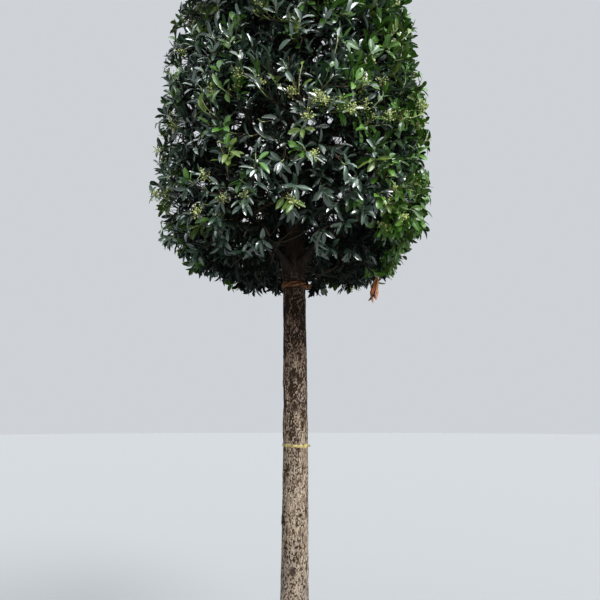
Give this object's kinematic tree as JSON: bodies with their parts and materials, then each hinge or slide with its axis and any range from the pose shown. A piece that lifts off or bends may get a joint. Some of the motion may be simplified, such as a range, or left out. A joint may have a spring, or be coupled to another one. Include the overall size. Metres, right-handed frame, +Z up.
{
  "type": "potted holly",
  "caption": "Tall evergreen standard tree with a clear straight stem and a dense egg-shaped crown of glossy leaves, in a round nursery pot.",
  "frame": {"origin": "middle of the flat underside of the pot, where it stands on the ground", "axes": "+Z up along the stem, -Y towards the viewer of the picture, +X to that viewer's right"},
  "size_m": [1.3606, 1.3656, 4.1614],
  "materials": {
    "pot_plastic": "satin black moulded plastic, dusty",
    "compost": "dark potting compost under chips of brown bark",
    "trunk_bark": "buff-grey bark, thickly speckled with dark brown dots",
    "bough_bark": "grey-brown young bark, matt",
    "foliage": "glossy dark green leaves with yellow-green midribs, and fresher green young ones",
    "orange_strap": "weathered rust-orange strap",
    "yellow_tape": "thin yellow plastic tape"
  },
  "bodies": {
    "root": {"pot": "pot_plastic", "compost": "compost", "trunk": "trunk_bark", "orange_strap": "orange_strap", "yellow_tape": "yellow_tape", "bough_low_1": "bough_bark", "bough_low_2": "bough_bark", "bough_low_3": "bough_bark", "bough_low_4": "bough_bark", "bough_low_5": "bough_bark", "bough_middle_1": "bough_bark", "bough_middle_2": "bough_bark", "bough_middle_3": "bough_bark", "bough_middle_4": "bough_bark", "bough_middle_5": "bough_bark", "bough_high_1": "bough_bark", "bough_high_2": "bough_bark", "bough_high_3": "bough_bark", "bough_high_4": "bough_bark", "bough_upper_1": "bough_bark", "bough_upper_2": "bough_bark", "bough_upper_3": "bough_bark", "foliage_low_1": "foliage", "foliage_low_2": "foliage", "foliage_low_3": "foliage", "foliage_low_4": "foliage", "foliage_low_5": "foliage", "foliage_middle_1": "foliage", "foliage_middle_2": "foliage", "foliage_middle_3": "foliage", "foliage_middle_4": "foliage", "foliage_middle_5": "foliage", "foliage_high_1": "foliage", "foliage_high_2": "foliage", "foliage_high_3": "foliage", "foliage_high_4": "foliage", "foliage_upper_1": "foliage", "foliage_upper_2": "foliage", "foliage_upper_3": "foliage", "foliage_crest": "foliage"}
  },
  "joints": []
}
